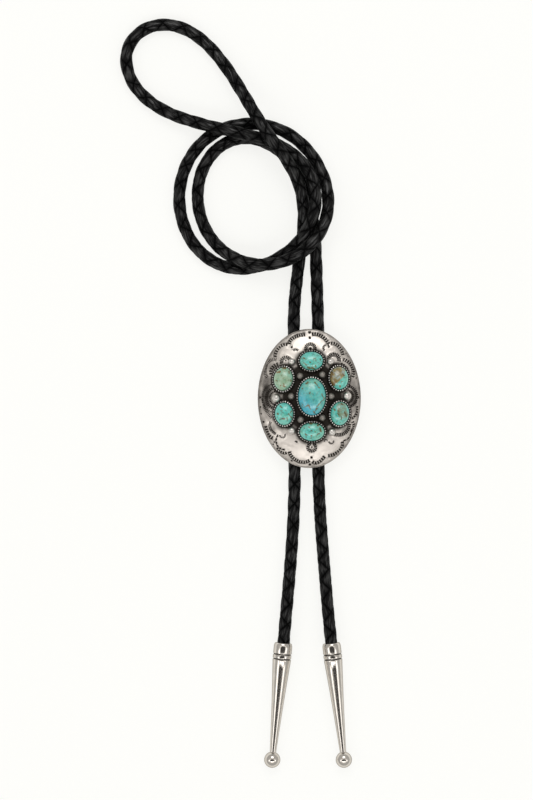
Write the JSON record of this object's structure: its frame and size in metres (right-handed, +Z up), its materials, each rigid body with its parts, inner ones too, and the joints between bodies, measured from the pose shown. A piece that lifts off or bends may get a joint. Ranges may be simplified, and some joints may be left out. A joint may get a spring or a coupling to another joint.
{
  "type": "bolo tie",
  "caption": "Braided leather cord tie lying flat, doubled through an oval domed silver slide set with oval turquoise cabochons, with turned silver tips on its ends.",
  "frame": {"origin": "on the underside of the clip behind the slide, below the middle of the slide's oval; the tie lies on z = 0", "axes": "+Z up out of the slide's face; +Y along the cord from the tips towards the loop; +X to the right of that, seen from above"},
  "size_m": [0.0975, 0.3046, 0.0176],
  "materials": {
    "silver": "satin",
    "turquoise": "polished",
    "clip_metal": "satin",
    "leather": "satin",
    "tip_metal": "polished"
  },
  "bodies": {
    "root": {"slide_plate": "silver", "stone_centre": "turquoise", "stone_top": "turquoise", "stone_bottom": "turquoise", "stone_upper_left": "turquoise", "stone_lower_left": "turquoise", "stone_upper_right": "turquoise", "stone_lower_right": "turquoise", "cord_clip": "clip_metal", "cord": "leather", "tip_left": "tip_metal", "tip_right": "tip_metal"}
  },
  "joints": []
}
